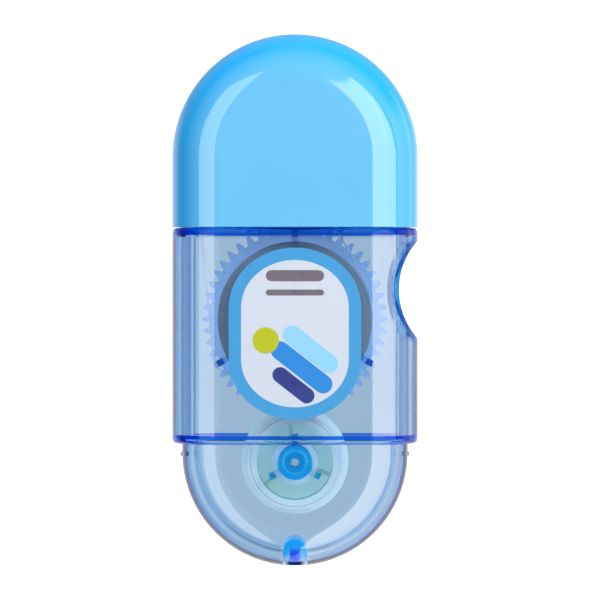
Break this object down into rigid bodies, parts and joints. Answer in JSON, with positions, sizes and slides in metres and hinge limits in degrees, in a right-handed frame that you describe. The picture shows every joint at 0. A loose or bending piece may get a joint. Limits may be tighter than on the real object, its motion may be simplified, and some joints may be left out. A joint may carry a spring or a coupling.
{
  "type": "correction tape dispenser",
  "caption": "Capsule-shaped correction tape dispenser with a transparent case, pull-off cap, geared supply and take-up reels, slip clutch, tape guides and a wedge applicator tip.",
  "frame": {"origin": "centre of the closed dispenser's bounding box", "axes": "+Z along the case towards the cap, -Y out of the labelled front face, +X to the right seen from the front"},
  "size_m": [0.0334, 0.0146, 0.072],
  "materials": {
    "clear_case": "clear polished blue polystyrene",
    "cap": "glossy opaque sky blue",
    "label": "printed film, satin",
    "gear": "natural acetal, satin",
    "clutch": "matt silicone",
    "wound_tape": "wound tape edge, finely ringed",
    "mint": "pale mint, satin",
    "tape": "white tape on a thin film",
    "head": "milky white, satin"
  },
  "bodies": {
    "case": {"front_shell": "clear_case", "back_shell": "clear_case", "front_label": "label", "tape_run": "tape", "tip_blade": "head", "head_frame": "head"},
    "cap": {"cap": "cap"},
    "supply_gear": {"supply_gear": "gear", "clutch_ring": "clutch"},
    "supply_spool": {"supply_core": "gear", "supply_tape_roll": "wound_tape"},
    "takeup_reel": {"takeup_reel": "mint", "takeup_tape_wrap": "tape"},
    "feed_roller": {"feed_guide_roller": "gear"},
    "return_roller": {"return_guide_roller": "gear"},
    "side_roller": {"side_guide_roller": "gear"}
  },
  "joints": [
    {"name": "cap_slide", "type": "slide", "parent": "case", "child": "cap", "axis": [0, 0, 1], "range_m": [0, 0.026]},
    {"name": "supply_gear_spin", "type": "hinge", "parent": "case", "child": "supply_gear", "pos_m": [0, 0, -0.0026], "axis": [0, -1, 0], "continuous": true},
    {"name": "takeup_spin", "type": "hinge", "parent": "case", "child": "takeup_reel", "pos_m": [0, 0, -0.02184], "axis": [0, -1, 0], "continuous": true},
    {"name": "spool_slip", "type": "hinge", "parent": "supply_gear", "child": "supply_spool", "pos_m": [0, 0, -0.0026], "axis": [0, -1, 0], "continuous": true},
    {"name": "feed_roller_spin", "type": "hinge", "parent": "case", "child": "feed_roller", "pos_m": [0.0045, 0, 0.0146], "axis": [0, -1, 0], "continuous": true},
    {"name": "return_roller_spin", "type": "hinge", "parent": "case", "child": "return_roller", "pos_m": [-0.0039, 0, 0.0176], "axis": [0, -1, 0], "continuous": true},
    {"name": "side_roller_spin", "type": "hinge", "parent": "case", "child": "side_roller", "pos_m": [-0.0118, 0, 0.0116], "axis": [0, -1, 0], "continuous": true}
  ],
  "couplings": [
    {"joint": "takeup_spin", "follows": "supply_gear_spin", "ratio": -1.8462}
  ]
}
